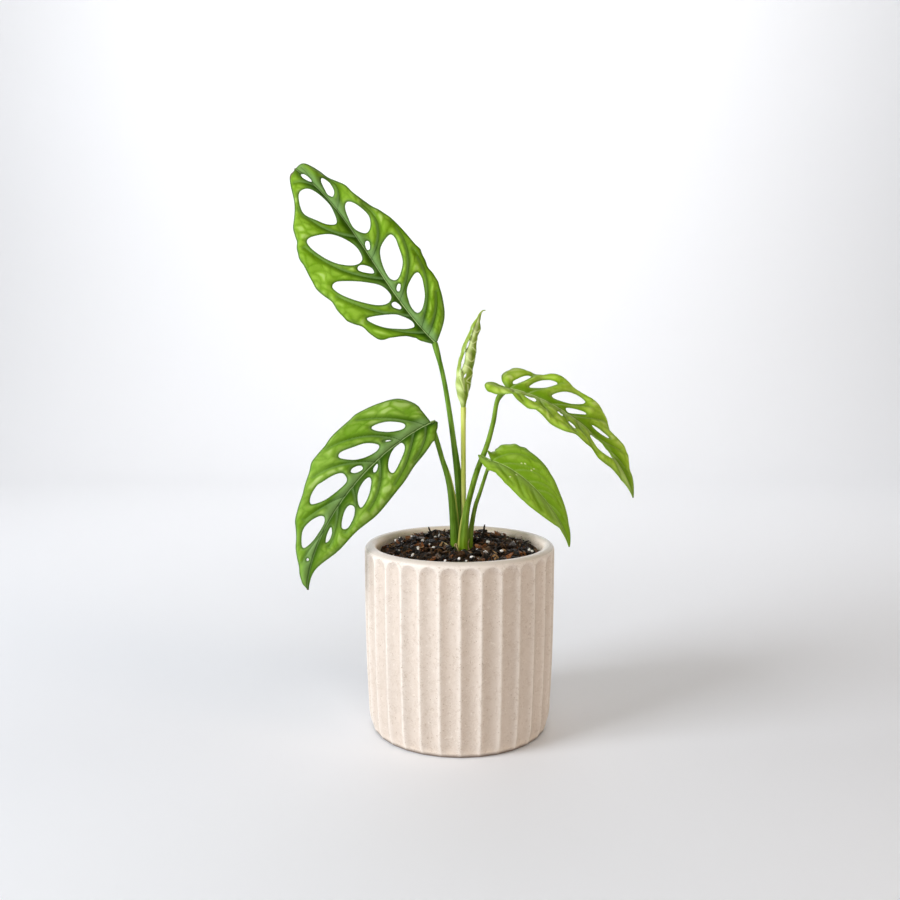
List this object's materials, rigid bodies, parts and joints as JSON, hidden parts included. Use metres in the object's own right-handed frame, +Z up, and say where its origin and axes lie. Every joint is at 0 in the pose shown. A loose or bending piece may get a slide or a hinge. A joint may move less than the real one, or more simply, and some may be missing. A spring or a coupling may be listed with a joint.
{
  "type": "potted monstera obliqua",
  "caption": "Young monstera obliqua with fenestrated leaves and one rolled leaf, in potting mix, in a round fluted stoneware pot.",
  "frame": {"origin": "centre of the pot's flat foot, on the surface that the pot stands on", "axes": "+Z up along the pot's axis, the plant's front looks along -Y, +X to the viewer's right"},
  "size_m": [0.2193, 0.12, 0.3604],
  "materials": {
    "stoneware": "warm cream unglazed stoneware with fine brown specks, a little glossier on the lip",
    "mix": "damp dark bark and fibre with orange brown chips and white perlite",
    "stalk": "smooth fleshy green, lighter and grooved along the front",
    "blade": "satin mid green with a pale midrib, sunken side veins and yellow green blotches",
    "young_leaf": "satin pale yellow green with fine crossing veins"
  },
  "bodies": {
    "root": {"pot": "stoneware", "potting_mix": "mix", "stalk_tall_leaf": "stalk", "stalk_lower_leaf": "stalk", "stalk_right_leaf": "stalk", "stalk_small_leaf": "stalk", "stalk_rolled_leaf": "young_leaf", "blade_tall_leaf": "blade", "blade_lower_leaf": "blade", "blade_right_leaf": "blade", "blade_small_leaf": "blade", "rolled_leaf": "young_leaf"}
  },
  "joints": []
}
